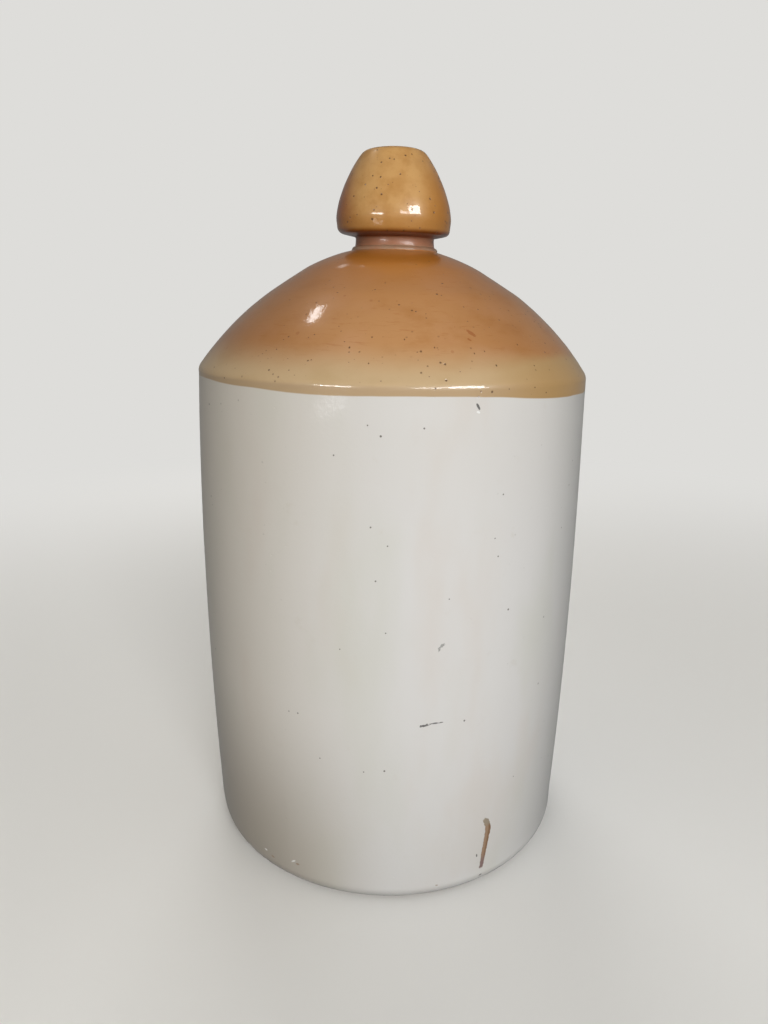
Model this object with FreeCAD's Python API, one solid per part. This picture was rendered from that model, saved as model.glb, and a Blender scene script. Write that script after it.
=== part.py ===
"""One-gallon stoneware ginger beer bottle, empty and open at the mouth.

The bottle is one fired piece of clay: a straight drum with a little swell, a
domed shoulder, a short neck on a bead, and a bell-shaped collar round the
mouth. It stands on a turned foot ring. All sizes are in millimetres, +Z is up,
and the origin is the middle of the foot ring's plane.
"""

import FreeCAD
import Part
import math
import os

# Clay: one thickness for the drum's wall and the shoulder, and a thicker floor
WALL = 7.5
FLOOR = 11.0

# Drum: the wall between the heel and the shoulder's edge
SHOULDER_RADIUS = 87.8
SHOULDER_HEIGHT = 223.0
FOOT_NARROWER = 1.1
WALL_SWELL = 2.2
HEEL_ROUND = 8.2
INNER_HEEL_SLOPE = 13.0

# Foot: the underside is turned hollow, so that the bottle stands on a ring
FOOT_RING_WIDTH = 13.0
FOOT_RING_SLOPE = 4.0
FOOT_HOLLOW = 1.6

# Shoulder: one arc from the drum's edge up to the bead
SHOULDER_RISE = 51.0
SHOULDER_CROWN = 7.1
SHOULDER_EDGE_ROUND = 2.6
ROOF_BREAK_RADIUS = 46.0

# Neck: a short straight ring on a bead, which has a band and a sloped top
NECK_RADIUS = 17.5
NECK_HEIGHT = 3.2
BEAD_PROUD = 1.7
BEAD_BAND = 1.2
BEAD_SLOPE = 0.9

# Collar: the bell round the mouth, wider than the neck and cut back below
COLLAR_OVERHANG = 8.0
LIP_SET_IN = 0.6
LIP_HEIGHT = 5.0
LIP_ROUND = 1.6
UNDERCUT = 2.4
BELL_HEIGHT = 28.3
BELL_LOWER_PULL = 8.9
BELL_UPPER_PULL = 7.2
BELL_LEAN_DEG = 46.0

# Mouth: a plain bore for a cork, with its edges softened
MOUTH_RADIUS = 9.5
RIM_WIDTH = 3.8
RIM_SLOPE = 1.2

# Radii and heights that follow from the sizes above
FOOT_RADIUS = SHOULDER_RADIUS - FOOT_NARROWER
COLLAR_RADIUS = NECK_RADIUS + COLLAR_OVERHANG
RIM_RADIUS = MOUTH_RADIUS + RIM_WIDTH
BEAD_LEVEL = SHOULDER_HEIGHT + SHOULDER_RISE
NECK_LEVEL = BEAD_LEVEL + BEAD_BAND + BEAD_SLOPE
COLLAR_LEVEL = NECK_LEVEL + NECK_HEIGHT
LIP_LEVEL = COLLAR_LEVEL + UNDERCUT
BELL_LEVEL = LIP_LEVEL + LIP_HEIGHT
RIM_LEVEL = BELL_LEVEL + BELL_HEIGHT

# Equal shorter arcs that a long arc is drawn in, because they mesh more lightly
HEEL_STEPS = 2
SHOULDER_STEPS = 4

# How far a ring may lie from where it is looked for
SEARCH = 0.01


def point(radius, height):
    """A point of the section, which lies in the plane of X and Z."""
    return FreeCAD.Vector(radius, 0, height)


def line(start, end):
    return Part.LineSegment(start, end).toShape()


def arc(start, middle, end):
    return Part.Arc(start, middle, end).toShape()


def arc_in_steps(start, middle, end, steps):
    """The same arc as a run of equal shorter arcs."""
    first, last = arc(start, middle, end).ParameterRange
    half = (last - first) / steps / 2
    points = [arc(start, middle, end).valueAt(first + i * half) for i in range(2 * steps + 1)]
    return [arc(*points[i : i + 3]) for i in range(0, 2 * steps, 2)]


def crowned_arc(start, end, crown):
    """Three points of an arc whose middle stands outside its chord by crown."""
    chord = end - start
    outward = FreeCAD.Vector(chord.z, 0, -chord.x).normalize()
    return start, (start + end) * 0.5 + outward * crown, end


def quarter_arc(start, end):
    """Three points of a quarter circle that leaves start level and ends upright."""
    radius = end.x - start.x
    turn = radius * math.sqrt(0.5)
    return start, point(start.x + turn, end.z - turn), end


def inner_circle(points):
    """The circle of an outer arc, made smaller by the clay's thickness."""
    outer = Part.Arc(*points).toShape().Curve
    return outer.Center, outer.Radius - WALL


def over(circle, at):
    """The upper point of a circle at a distance from the axis."""
    centre, radius = circle
    return point(at, centre.z + math.sqrt(radius**2 - (at - centre.x) ** 2))


# Corners of the outer face
SHOULDER_EDGE = point(SHOULDER_RADIUS, SHOULDER_HEIGHT)
DRUM_FOOT = point(FOOT_RADIUS, HEEL_ROUND)
BEAD_BOTTOM = point(NECK_RADIUS + BEAD_PROUD, BEAD_LEVEL)
NECK_TOP = point(NECK_RADIUS, COLLAR_LEVEL)
LIP_BOTTOM = point(COLLAR_RADIUS - LIP_SET_IN, LIP_LEVEL)
RIM_EDGE = point(RIM_RADIUS, RIM_LEVEL)

# The two outer arcs, and the circle that the hollow's roof keeps to
DRUM_ARC = crowned_arc(DRUM_FOOT, SHOULDER_EDGE, WALL_SWELL)
SHOULDER_ARC = crowned_arc(SHOULDER_EDGE, BEAD_BOTTOM, SHOULDER_CROWN)
INNER_ROOF = inner_circle(SHOULDER_ARC)

# Corners of the hollow
MOUTH_EDGE = point(MOUTH_RADIUS, RIM_LEVEL)
THROAT = over(INNER_ROOF, MOUTH_RADIUS)
ROOF_BREAK = over(INNER_ROOF, ROOF_BREAK_RADIUS)
ROOF_END = over(INNER_ROOF, SHOULDER_RADIUS - WALL)


def foot_edges():
    """Hollow underside, foot ring and rounded heel, from the axis outwards."""
    ring_outer = point(FOOT_RADIUS - HEEL_ROUND, 0)
    ring_inner = point(ring_outer.x - FOOT_RING_WIDTH, 0)
    hollow_edge = point(ring_inner.x - FOOT_RING_SLOPE, FOOT_HOLLOW)
    ring = [
        line(point(0, FOOT_HOLLOW), hollow_edge),
        line(hollow_edge, ring_inner),
        line(ring_inner, ring_outer),
    ]
    return ring + arc_in_steps(*quarter_arc(ring_outer, DRUM_FOOT), HEEL_STEPS)


def neck_edges():
    """The bead on the shoulder and the straight neck above it."""
    band_top = point(BEAD_BOTTOM.x, BEAD_LEVEL + BEAD_BAND)
    neck_foot = point(NECK_RADIUS, NECK_LEVEL)
    return [
        line(BEAD_BOTTOM, band_top),
        line(band_top, neck_foot),
        line(neck_foot, NECK_TOP),
    ]


def collar_edges():
    """Undercut, blunt lip and bell of the collar, up to the rim."""
    lean = math.radians(BELL_LEAN_DEG)
    bell_foot = point(COLLAR_RADIUS, BELL_LEVEL)
    lower_pole = point(COLLAR_RADIUS, BELL_LEVEL + BELL_LOWER_PULL)
    upper_pull = point(math.sin(lean), -math.cos(lean)) * BELL_UPPER_PULL
    bell = Part.BezierCurve()
    bell.setPoles([bell_foot, lower_pole, RIM_EDGE + upper_pull, RIM_EDGE])
    return [line(NECK_TOP, LIP_BOTTOM), line(LIP_BOTTOM, bell_foot), bell.toShape()]


def hollow_edges():
    """Rim, bore, sloped roof, straight wall and floor, back to the axis."""
    corners = [
        RIM_EDGE,
        MOUTH_EDGE,
        THROAT,
        ROOF_BREAK,
        ROOF_END,
        point(ROOF_END.x, FLOOR + INNER_HEEL_SLOPE),
        point(ROOF_END.x - INNER_HEEL_SLOPE, FLOOR),
        point(0, FLOOR),
        point(0, FOOT_HOLLOW),
    ]
    return [line(start, end) for start, end in zip(corners, corners[1:])]


def section():
    """The clay, cut by a plane through the axis, as one face."""
    edges = foot_edges()
    edges.append(arc(*DRUM_ARC))
    edges += arc_in_steps(*SHOULDER_ARC, SHOULDER_STEPS)
    edges += neck_edges()
    edges += collar_edges()
    edges += hollow_edges()
    return Part.Face(Part.Wire(edges))


def is_ring(edge, corner):
    """Whether an edge is the level circle that a corner of the section draws."""
    curve = edge.Curve
    if not isinstance(curve, Part.Circle):
        return False
    level = abs(curve.Axis.z) > 1 - SEARCH
    on_height = abs(curve.Center.z - corner.z) < SEARCH
    return level and on_height and abs(curve.Radius - corner.x) < SEARCH


def rings(solid, *corners):
    """The level circles of the solid that some corners of the section draw."""
    return [edge for edge in solid.Edges if any(is_ring(edge, c) for c in corners)]


def softened(solid):
    """Softens the corners as the potter's sponge and the glaze leave them."""
    solid = solid.makeFillet(SHOULDER_EDGE_ROUND, rings(solid, SHOULDER_EDGE))
    solid = solid.makeFillet(LIP_ROUND, rings(solid, LIP_BOTTOM))
    return solid.makeChamfer(RIM_SLOPE, rings(solid, RIM_EDGE, MOUTH_EDGE))


def bottle():
    """The section turned once round the axis, with its corners softened."""
    axis_point = FreeCAD.Vector(0, 0, 0)
    axis = FreeCAD.Vector(0, 0, 1)
    return softened(section().revolve(axis_point, axis, 360))


def main():
    os.makedirs("parts", exist_ok=True)
    shape = bottle()
    shape.exportStep("parts/bottle.step")
    clay_litres = shape.Volume / 1e6
    print(f"clay {clay_litres:.3f} litres, height {RIM_LEVEL:.1f} mm")
    print(f"bore from {THROAT.z:.2f} to {RIM_LEVEL - RIM_SLOPE:.2f} mm")


main()
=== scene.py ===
# %% [markdown]
# # A stoneware ginger beer bottle
#
# The real bottle is one piece of fired clay. A potter threw the drum and the domed
# shoulder on the wheel, added the collar, dipped the top in a tan glaze and the rest
# in a cream one, and fired it once. This lesson turns the same shape from one drawn
# section, lets it go a little out of true as a hand does, and then glazes it.
#
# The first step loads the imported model. It is the frame that every size comes back
# to, so its box is kept and compared with the finished piece at the end.

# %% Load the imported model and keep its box
import math

import bpy
from mathutils import Color, Matrix, Vector
from mathutils.geometry import interpolate_bezier


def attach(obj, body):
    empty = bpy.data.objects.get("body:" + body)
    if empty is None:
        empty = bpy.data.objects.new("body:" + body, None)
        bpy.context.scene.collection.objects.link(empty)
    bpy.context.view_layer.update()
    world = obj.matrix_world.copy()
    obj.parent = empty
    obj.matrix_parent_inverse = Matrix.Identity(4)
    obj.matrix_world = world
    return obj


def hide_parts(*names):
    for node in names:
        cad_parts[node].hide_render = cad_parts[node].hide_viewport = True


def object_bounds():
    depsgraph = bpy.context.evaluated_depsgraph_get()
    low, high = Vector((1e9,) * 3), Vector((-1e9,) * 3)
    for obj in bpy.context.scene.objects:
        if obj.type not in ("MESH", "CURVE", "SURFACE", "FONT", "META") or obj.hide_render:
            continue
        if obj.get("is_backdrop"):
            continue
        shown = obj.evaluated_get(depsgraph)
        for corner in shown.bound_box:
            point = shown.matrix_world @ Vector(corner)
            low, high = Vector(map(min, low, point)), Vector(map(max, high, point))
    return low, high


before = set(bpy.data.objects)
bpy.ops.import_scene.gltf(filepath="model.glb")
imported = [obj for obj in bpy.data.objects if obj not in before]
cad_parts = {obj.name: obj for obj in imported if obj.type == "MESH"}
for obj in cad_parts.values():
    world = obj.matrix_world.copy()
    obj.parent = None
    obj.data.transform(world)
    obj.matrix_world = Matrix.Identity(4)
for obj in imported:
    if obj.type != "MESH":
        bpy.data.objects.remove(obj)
cad_low, cad_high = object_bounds()

MM = 0.001
print("packed box in mm:", [round(side / MM, 1) for side in cad_high - cad_low])

# %% [markdown]
# ## The camera
#
# A picture can only be compared with a photograph if it is taken from the same
# place. The camera stands a forearm's length from the bottle, a little below its
# collar. Blender's camera looks along its own -Z, so it is first tipped up to the
# horizon and then down by the angle given here. The order of the three turns matters:
# twist, then tip, then turn.

# %% Set the camera up
CAMERA_PLACE = Vector((0, -345, 248.3)) * MM
CAMERA_TURN_DEG = 0.3955
CAMERA_DOWN_DEG = 15.466
CAMERA_TWIST_DEG = 0.629
FOCAL_LENGTH_PX = 726.0
PHOTO_HEIGHT_PX = 1024
SENSOR_MM = 36


def new_object(name, data):
    made = bpy.data.objects.new(name, data)
    bpy.context.scene.collection.objects.link(made)
    return made


def set_up_camera():
    camera = new_object("camera", bpy.data.cameras.new("camera"))
    camera.data.sensor_width = SENSOR_MM
    camera.data.lens = FOCAL_LENGTH_PX * SENSOR_MM / PHOTO_HEIGHT_PX
    camera.data.clip_start = 10 * MM
    turn = Matrix.Rotation(math.radians(CAMERA_TURN_DEG), 4, "Z")
    tip = Matrix.Rotation(math.radians(90 - CAMERA_DOWN_DEG), 4, "X")
    twist = Matrix.Rotation(math.radians(CAMERA_TWIST_DEG), 4, "Z")
    camera.matrix_world = Matrix.Translation(CAMERA_PLACE) @ turn @ tip @ twist
    bpy.context.scene.camera = camera
    return camera


camera = set_up_camera()
print(f"camera lens {camera.data.lens:.2f} mm, {CAMERA_PLACE.z / MM:.0f} mm above the floor")

# %% [markdown]
# ## The sizes
#
# These are the sizes that a potter would measure with callipers and a ruler. Points
# of the section are pairs of a distance from the axis and a height. They are the
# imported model's own sizes, with the small soft forms that it leaves out, such as the
# half-round bead and the groove where it sits on the shoulder.

# %% Write the sizes down
WALL = 7.5 * MM
FLOOR = 11.0 * MM
SHOULDER_RADIUS = 87.8 * MM
SHOULDER_HEIGHT = 223.0 * MM
FOOT_RADIUS = SHOULDER_RADIUS - 1.1 * MM
WALL_SWELL = 2.2 * MM
HEEL_ROUND = 8.2 * MM
INNER_HEEL = 13.0 * MM

FOOT_RING_WIDTH = 13.0 * MM
FOOT_RING_SLOPE = 4.0 * MM
FOOT_HOLLOW = 1.6 * MM

BEAD_HEIGHT = SHOULDER_HEIGHT + 51.0 * MM
SHOULDER_CROWN = 7.1 * MM
SHOULDER_TURN = 0.66
UPPER_CROWN = 1.35 * MM
ROOF_BREAK_RADIUS = 46.0 * MM

NECK_RADIUS = 17.5 * MM
BEAD_PROUD = 1.7 * MM
BEAD_TALL = 1.7 * MM
NECK_TALL = 4.0 * MM
NECK_FLARE = 0.3 * MM

COLLAR_RADIUS = NECK_RADIUS + 8.0 * MM
LIP_SET_IN = 0.6 * MM
UNDERCUT = 1.5 * MM
LIP_TALL = 5.5 * MM
BELL_TALL = 28.3 * MM
BELL_LOWER_PULL = 8.9 * MM
BELL_UPPER_PULL = 7.2 * MM
BELL_LEAN_DEG = 46.0
MOUTH_RADIUS = 9.5 * MM
RIM_WIDTH = 3.4 * MM

NECK_FOOT_HEIGHT = BEAD_HEIGHT + BEAD_TALL
COLLAR_HEIGHT = NECK_FOOT_HEIGHT + NECK_TALL
LIP_HEIGHT = COLLAR_HEIGHT + UNDERCUT
BELL_HEIGHT = LIP_HEIGHT + LIP_TALL
RIM_HEIGHT = BELL_HEIGHT + BELL_TALL
print(f"the sizes add up to {RIM_HEIGHT / MM:.1f} mm, the packed box to {cad_high.z / MM:.1f} mm")

# %% [markdown]
# ## Drawing the section
#
# A pot is drawn as half of its section: one line from the middle of the underside,
# out and up the wall, over the rim, down the mouth and back to the middle of the
# floor. Typing in a few hundred points would work, but nobody could change them.
# Instead there are three kinds of stretch, straight, bowed and pulled, and one way
# to join two of them in a rounded corner. Fired clay and glaze have no sharp corner.


# %% Make the stretches that a section is drawn with
def straight(start, end, steps):
    return [start.lerp(end, step / steps) for step in range(steps + 1)]


def circle_through(start, end, bow):
    """Centre, radius and outward direction of the arc that stands out by bow."""
    chord = end - start
    outward = Vector((chord.y, -chord.x)).normalized()
    radius = (chord.length_squared / 4 + bow**2) / (2 * bow)
    return (start + end) / 2 + outward * (bow - radius), radius, outward


def bowed(start, end, bow, steps):
    """An arc of a circle between two points, drawn evenly."""
    centre, radius, outward = circle_through(start, end, bow)
    along = (end - start).normalized()
    swing = math.asin((end - start).length / 2 / radius)
    angles = [swing * (2 * step / steps - 1) for step in range(steps + 1)]
    return [centre + radius * (outward * math.cos(a) + along * math.sin(a)) for a in angles]


def pulled(start, first_pull, second_pull, end, steps):
    """A curve that leaves start towards one pull and reaches end from the other."""
    points = interpolate_bezier(start, start + first_pull, end + second_pull, end, steps + 1)
    return [Vector(point[:2]) for point in points]


def cut_back(points, reach):
    """A stretch that ends short of its last point by reach."""
    points = list(points)
    while (points[-1] - points[-2]).length <= reach:
        reach -= (points[-1] - points[-2]).length
        points.pop()
    points[-1] = points[-1] + (points[-2] - points[-1]).normalized() * reach
    return points


def joined(first, second, reach, steps=8):
    """Two stretches that meet in a corner, with the corner rounded over reach."""
    corner = first[-1]
    first = cut_back(first, reach)
    second = cut_back(second[::-1], reach)[::-1]
    shares = [step / steps for step in range(1, steps)]
    bend = [first[-1].lerp(corner, t).lerp(corner.lerp(second[0], t), t) for t in shares]
    return first + bend + second


print("a quarter round of 9 steps:", len(bowed(Vector((1, 0)), Vector((2, 1)), 0.29, 9)), "points")

# %% [markdown]
# ## The outside of the section
#
# The outside starts under the bottle. The foot is turned hollow, so that only a ring
# touches the table. Then come the rounded heel, the drum with its slight swell, the
# shoulder, which is a little fuller near the bead, the bead, the neck and the
# bell-shaped collar. Steps are short where the form turns quickly.

# %% Draw the outside
GROOVE_DEEP = 0.1 * MM
BEAD_BOW = 0.5 * MM
NECK_BOW = -0.12 * MM
SHOULDER_EDGE_REACH = 1.7 * MM
LIP_REACH = 2.3 * MM
RIM_REACH = 2.1 * MM
QUARTER_BOW = 1 - math.sqrt(0.5)

ring_outer = Vector((FOOT_RADIUS - HEEL_ROUND, 0))
ring_inner = ring_outer - Vector((FOOT_RING_WIDTH, 0))
hollow_edge = ring_inner + Vector((-FOOT_RING_SLOPE, FOOT_HOLLOW))
drum_foot = Vector((FOOT_RADIUS, HEEL_ROUND))
shoulder_edge = Vector((SHOULDER_RADIUS, SHOULDER_HEIGHT))
bead_foot = Vector((NECK_RADIUS + BEAD_PROUD, BEAD_HEIGHT))
groove = bead_foot - Vector((0, GROOVE_DEEP))
neck_foot = Vector((NECK_RADIUS + NECK_FLARE, NECK_FOOT_HEIGHT))
neck_top = Vector((NECK_RADIUS, COLLAR_HEIGHT))
lip_bottom = Vector((COLLAR_RADIUS - LIP_SET_IN, LIP_HEIGHT))
bell_foot = Vector((COLLAR_RADIUS, BELL_HEIGHT))
rim_edge = Vector((MOUTH_RADIUS + RIM_WIDTH, RIM_HEIGHT))


def underside():
    foot = straight(Vector((0, FOOT_HOLLOW)), hollow_edge, 8)
    foot = joined(foot, straight(hollow_edge, ring_inner, 3), 1 * MM, 4)
    foot = joined(foot, straight(ring_inner, ring_outer, 5), 1 * MM, 4)
    return foot + bowed(ring_outer, drum_foot, HEEL_ROUND * QUARTER_BOW, 14)[1:]


def drum_and_shoulder():
    drum = bowed(drum_foot, shoulder_edge, WALL_SWELL, 88)
    dome = bowed(shoulder_edge, groove, SHOULDER_CROWN, 40)
    dome = dome[:round(len(dome) * SHOULDER_TURN)]
    shoulder = joined(dome, bowed(dome[-1], groove, UPPER_CROWN, 14), 9 * MM, 7)
    return joined(drum, shoulder, SHOULDER_EDGE_REACH, 12)


def bead_and_neck():
    bead = bowed(groove, neck_foot, BEAD_BOW, 12)
    neck = bowed(neck_foot, neck_top, NECK_BOW, 8)
    return joined(bead, neck, 0.4 * MM, 4)


def collar():
    lean = math.radians(BELL_LEAN_DEG)
    lower_pull = Vector((0, BELL_LOWER_PULL))
    upper_pull = Vector((math.sin(lean), -math.cos(lean))) * BELL_UPPER_PULL
    bell = pulled(bell_foot, lower_pull, upper_pull, rim_edge, 40)
    lip = straight(lip_bottom, bell_foot, 6)
    under = straight(neck_top, lip_bottom, 8)
    return joined(under, joined(lip, bell, 0.8 * MM, 4), LIP_REACH, 10)


outside = underside() + drum_and_shoulder()[1:]
outside = joined(outside, bead_and_neck(), 0.35 * MM, 4)
outside = joined(outside, collar(), 0.7 * MM, 5)
print(f"outside: {len(outside)} points, widest {max(p.x for p in outside) / MM:.2f} mm from the axis")

# %% [markdown]
# ## The inside of the section
#
# The mouth is open, so light and the eye go down the bore. The hollow keeps one
# thickness of clay under the shoulder: its roof lies on the shoulder's own circle made
# smaller by the wall.


# %% Draw the mouth and the hollow
def under_shoulder(radius):
    """The point of the hollow's roof at a distance from the axis."""
    centre, outer, _ = circle_through(shoulder_edge, bead_foot, SHOULDER_CROWN)
    rise = math.sqrt((outer - WALL) ** 2 - (radius - centre.x) ** 2)
    return Vector((radius, centre.y + rise))


def mouth_and_hollow():
    mouth_edge = Vector((MOUTH_RADIUS, RIM_HEIGHT))
    throat = under_shoulder(MOUTH_RADIUS)
    roof_break = under_shoulder(ROOF_BREAK_RADIUS)
    roof_end = under_shoulder(SHOULDER_RADIUS - WALL)
    heel_top = Vector((roof_end.x, FLOOR + INNER_HEEL))
    heel_end = Vector((roof_end.x - INNER_HEEL, FLOOR))
    line = joined(straight(rim_edge, mouth_edge, 4), straight(mouth_edge, throat, 16), 1.2 * MM, 7)
    line = joined(line, straight(throat, roof_break, 8), 2 * MM, 5)
    line = joined(line, straight(roof_break, roof_end, 8), 8 * MM, 4)
    line = joined(line, straight(roof_end, heel_top, 12), 5 * MM, 4)
    line = joined(line, straight(heel_top, heel_end, 4), 5 * MM, 4)
    return joined(line, straight(heel_end, Vector((0, FLOOR)), 6), 5 * MM, 4)


inside = mouth_and_hollow()
section = joined(outside, inside, RIM_REACH, 8)
print(f"the whole section has {len(section)} points")

# %% [markdown]
# ## How the hand goes out of true
#
# A turned pot is never quite round or level. Here the shoulder's edge and the
# collar's lower edge are higher on the left, the collar nods towards the viewer, and
# the neck sits off the axis. So each height carries three numbers: how much its ring
# leans, as a rise for each metre to the right, how much it nods, as a rise for each
# metre to the back, and how far its middle is shifted to the right. A few are listed
# and the rest lie between them. A fourth one is the depth down the mouth.

# %% Write the leans, nods and shifts on the section
LEAN_BY_HEIGHT = [(0, 0), (60, -0.002), (223, -0.0137), (272, -0.016), (281, -0.0175), (315, 0)]
NOD_BY_HEIGHT = [(0, 0), (255, 0), (274, 0.02), (281.7, 0.04), (287, 0.03), (315, 0)]
SHIFT_BY_HEIGHT = [(0, 0.9), (12, 0.2), (150, 0.1), (200, 0.4), (223, 0.7), (235, 1.1), (248, 1.2),
                   (256, 1.4), (264, 0.9), (273, 0.6), (274.5, 1.1), (279, 1.1), (283, 0.5), (315, 0.3)]


def read_off(table, height):
    """The value at a height, from the two entries of a table that it lies between."""
    for (low, before), (high, after) in zip(table, table[1:]):
        if height <= high * MM:
            share = (height / MM - low) / (high - low)
            return before + (after - before) * share
    return table[-1][1]


def section_object(points, first_inside):
    """The section as a mesh of edges only, with its numbers stored on the points."""
    mesh = bpy.data.meshes.new("section")
    edges = [(i, i + 1) for i in range(len(points) - 1)]
    mesh.from_pydata([(p.x, 0, p.y) for p in points], edges, [])
    heights = [p.y for p in points]
    columns = {
        "lean": [read_off(LEAN_BY_HEIGHT, height) for height in heights],
        "nod": [read_off(NOD_BY_HEIGHT, height) for height in heights],
        "shift": [read_off(SHIFT_BY_HEIGHT, height) * MM for height in heights],
        "depth": [RIM_HEIGHT - h if i >= first_inside else 0 for i, h in enumerate(heights)],
    }
    for name, values in columns.items():
        mesh.attributes.new(name, "FLOAT", "POINT").data.foreach_set("value", values)
    return new_object("stoneware_bottle", mesh)


bottle = section_object(section, len(outside))
print("the section stores", [a.name for a in bottle.data.attributes if a.name[0] != "."])

# %% [markdown]
# ## A bench for nodes
#
# Geometry Nodes shape the bottle and shader nodes glaze it, and both kinds of tree
# are built in the same way. Writing each link by hand hides the idea behind the
# plumbing, so this small bench adds a node, feeds it and hands back its output.
# A formula then reads as a formula. All lengths are in metres, as in the model.


# %% Make the bench
class Bench:
    """Short calls for the nodes of one tree."""

    def __init__(self, tree):
        self.tree = tree

    def feed(self, socket, value):
        """Joins a socket to another one, or writes a plain value on it."""
        if isinstance(value, bpy.types.NodeSocket):
            self.tree.links.new(value, socket)
        elif value is not None:
            socket.default_value = value

    def add(self, kind, inputs=(), **settings):
        """A new node. Inputs are given in order, or by name as a dictionary."""
        node = self.tree.nodes.new(kind)
        for name, setting in settings.items():
            setattr(node, name, setting)
        named = inputs.items() if isinstance(inputs, dict) else enumerate(inputs)
        for key, value in named:
            self.feed(node.inputs[key], value)
        return node

    def out(self, kind, inputs=(), **settings):
        """The first output of a new node."""
        return self.add(kind, inputs, **settings).outputs[0]

    def sum(self, operation, *values):
        return self.out("ShaderNodeMath", values, operation=operation)

    def chain(self, operation, first, *others):
        """The same sum again and again, through any number of values."""
        for other in others:
            first = self.sum(operation, first, other)
        return first

    def times(self, *values):
        return self.chain("MULTIPLY", *values)

    def plus(self, *values):
        return self.chain("ADD", *values)

    def any_of(self, *shares):
        return self.chain("MAXIMUM", *shares)

    def along(self, operation, *values):
        """The same for three numbers at once."""
        return self.out("ShaderNodeVectorMath", values, operation=operation)

    def split(self, vector):
        return self.add("ShaderNodeSeparateXYZ", [vector]).outputs

    def rise(self, value, low, high):
        """Goes smoothly from 0 at low to 1 at high."""
        ends = [value, low, high, 0.0, 1.0]
        return self.out("ShaderNodeMapRange", ends, interpolation_type="SMOOTHSTEP")

    def cloud(self, place, size, seed, detail=2.0, roughness=0.5):
        """A soft random pattern from 0 to 1 whose lumps are about size across."""
        inputs = {"Vector": place, "W": seed, "Scale": self.sum("DIVIDE", 1.0, size)}
        inputs |= {"Detail": detail, "Roughness": roughness}
        return self.out("ShaderNodeTexNoise", inputs, noise_dimensions="4D")

    def centred(self, value, reach):
        """Turns a cloud's 0 to 1 into minus reach to plus reach."""
        return self.sum("MULTIPLY_ADD", value, 2 * reach, -reach)


def bench_of(owner):
    """A bench on the emptied tree of a material or a world."""
    owner.use_nodes = True
    owner.node_tree.nodes.clear()
    return Bench(owner.node_tree)


print("the bench is ready")

# %% [markdown]
# ## Where the two glazes meet
#
# The tan glaze ends in a line a few millimetres below the shoulder's edge. It was
# dipped by hand, so the line is tilted and wavers. The shape needs it, because the
# second coat stands a little proud, and the colours need it too. So it is written
# once, as a function that works in both kinds of tree.

# %% Write the glaze line
GLAZE_LINE_HEIGHT = 218.4 * MM
GLAZE_LINE_LEAN = -0.0315
GLAZE_LINE_HUMP = 1.5 * MM
HUMP_PLACE = 21 * MM
GLAZE_LINE_WAVER = 0.8 * MM
GLAZE_COAT = 0.10 * MM


def above_glaze_line(bench, place):
    """How far a place lies above the line in which the tan glaze ends."""
    x, _, z = bench.split(place)
    line = bench.sum("MULTIPLY_ADD", x, GLAZE_LINE_LEAN, GLAZE_LINE_HEIGHT)
    off_hump = bench.sum("ABSOLUTE", bench.sum("SUBTRACT", x, HUMP_PLACE))
    hump = bench.times(bench.rise(off_hump, 55 * MM, 0), GLAZE_LINE_HUMP)
    waver = bench.centred(bench.cloud(place, 30 * MM, 3.0), GLAZE_LINE_WAVER)
    return bench.sum("SUBTRACT", z, bench.plus(line, hump, waver))


print(f"the line falls {-GLAZE_LINE_LEAN * 2 * SHOULDER_RADIUS / MM:.1f} mm from left to right")

# %% [markdown]
# ## Turning the pot
#
# Blender has a Screw modifier that spins a line, but it makes every ring perfect.
# Here a Geometry Nodes tree does the wheel's work. It makes a grid with one row for
# each point of the section and one column for each step of the turn, looks up every
# row's point, and swings it round. On the way it takes off a little clay: a slow
# wobble, the rings that the fingers leave, and the missing glaze coat below the line.
# It only takes clay off, so the pot can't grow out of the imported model's box.
# Merging closes the seam and the two middles.

# %% Build the tree that turns the pot
WHEEL_INPUTS = {
    "Section": "Geometry", "Columns": "Int", "Wobble": "Float", "Wobble Span": "Float",
    "Ring Depth": "Float", "Ring Spacing": "Float", "Coat": "Float", "Seed": "Float",
    "Glaze": "Material",
}
MERGE_WITHIN = 0.002 * MM
CLOSE_TO_AXIS = 30 * MM


def clay_taken_off(bench, place, radius, wheel):
    """How much nearer to the axis each place ends up."""
    lumps = bench.cloud(place, wheel["Wobble Span"], wheel["Seed"])
    wobble = bench.times(lumps, wheel["Wobble"])
    drift = bench.cloud(place, 40 * MM, wheel["Seed"])
    turns = bench.sum("DIVIDE", bench.split(place)[2], wheel["Ring Spacing"])
    wave = bench.sum("SINE", bench.times(bench.plus(turns, drift), math.tau))
    rings = bench.times(bench.plus(wave, 1.0), wheel["Ring Depth"])
    below = bench.rise(above_glaze_line(bench, place), 0.4 * MM, -0.4 * MM)
    total = bench.plus(wobble, rings, bench.times(below, wheel["Coat"]))
    return bench.times(total, bench.rise(radius, 0.0, CLOSE_TO_AXIS))


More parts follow.
